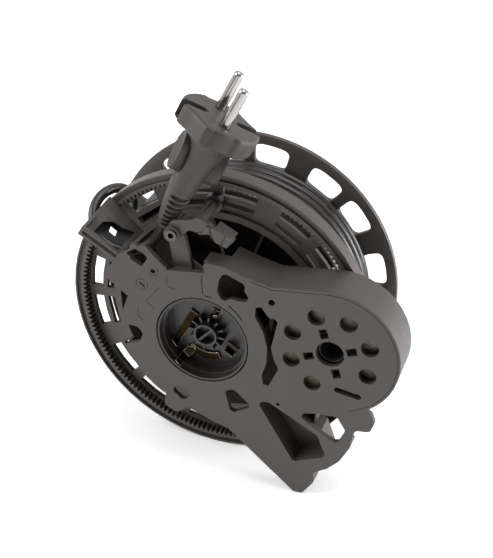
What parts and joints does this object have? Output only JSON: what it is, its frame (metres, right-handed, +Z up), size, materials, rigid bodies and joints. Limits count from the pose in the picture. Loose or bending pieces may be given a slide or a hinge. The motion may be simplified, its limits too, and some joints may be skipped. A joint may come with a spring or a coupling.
{
  "type": "automatic cord reel",
  "caption": "Spring-driven appliance cord reel: windowed drum with ring of teeth, frame plate with spring housing, brake, contacts and moulded two-pin plug.",
  "frame": {"origin": "under the middle of the bounding box of the reel without its cord and plug, on the surface it stands on", "axes": "+X to the right in front view, from the drum to the spring housing; +Y away from the front of the frame plate, along the drum's axle; +Z up"},
  "size_m": [0.1735, 0.0775, 0.2044],
  "materials": {
    "frame_plastic": "moulded, fine satin",
    "drum_plastic": "moulded, satin",
    "inner_plastic": "moulded, satin",
    "gear_plastic": "natural acetal",
    "cord_skin": "smooth flexible sheath",
    "plug_skin": "moulded soft plastic",
    "steel": "zinc plated",
    "spring_steel": "blued strip edges",
    "brass": "stamped",
    "chrome": "nickel plated"
  },
  "bodies": {
    "frame": {"frame_plate": "frame_plastic", "drum_axle": "inner_plastic", "retaining_washer": "steel", "axle_screw": "steel", "contact_carrier": "inner_plastic", "contact_strip_long": "brass", "contact_strip_round": "brass", "terminal_blade": "brass", "spring_contact": "brass", "brush_inner": "brass", "brush_outer": "brass", "idler_pin": "steel", "spring_arbor_pin": "steel", "mainspring": "spring_steel", "spring_back_cover": "frame_plastic", "cover_screw_1": "steel", "cover_screw_2": "steel", "cover_screw_3": "steel", "brake_pivot_pin": "steel", "brake_spring": "steel", "cord_lead": "cord_skin", "strain_relief": "plug_skin", "plug_body": "plug_skin", "plug_pin_1": "chrome", "plug_pin_2": "chrome"},
    "drum": {"drum_near_flange": "drum_plastic", "drum_far_flange": "drum_plastic", "drum_core": "drum_plastic", "cord_inner_layers": "cord_skin", "cord_winding": "cord_skin", "cord_clamp": "inner_plastic", "slip_ring_holder": "inner_plastic", "slip_ring_inner": "brass", "slip_ring_outer": "brass"},
    "idler": {"idler_gear": "gear_plastic"},
    "spring_wheel": {"spring_wheel": "gear_plastic"},
    "brake_lever": {"brake_lever": "frame_plastic"},
    "brake_roller": {"brake_roller": "inner_plastic"}
  },
  "joints": [
    {"name": "drum_spin", "type": "hinge", "parent": "frame", "child": "drum", "pos_m": [-0.00915, 0, 0.0776], "axis": [0, 1, 0], "range_deg": [0, 5400], "stiffness_Nm_per_rad": 0.0034, "springref_deg": -5042.03},
    {"name": "idler_spin", "type": "hinge", "parent": "frame", "child": "idler", "pos_m": [0.04621, 0, 0.05447], "axis": [0, 1, 0], "range_deg": [0, 32400]},
    {"name": "spring_wheel_spin", "type": "hinge", "parent": "frame", "child": "spring_wheel", "pos_m": [0.05372, 0, 0.08722], "axis": [0, 1, 0], "range_deg": [-8840, 0]},
    {"name": "brake_tip", "type": "hinge", "parent": "frame", "child": "brake_lever", "pos_m": [-0.02564, 0, 0.13112], "axis": [0, -1, 0], "range_deg": [0, 8], "stiffness_Nm_per_rad": 0.2, "springref_deg": -17.19},
    {"name": "brake_roller_spin", "type": "hinge", "parent": "brake_lever", "child": "brake_roller", "pos_m": [-0.01352, 0, 0.13924], "axis": [0, 1, 0], "continuous": true}
  ],
  "couplings": [
    {"joint": "idler_spin", "follows": "drum_spin", "ratio": 6},
    {"joint": "spring_wheel_spin", "follows": "drum_spin", "ratio": -1.6364}
  ]
}
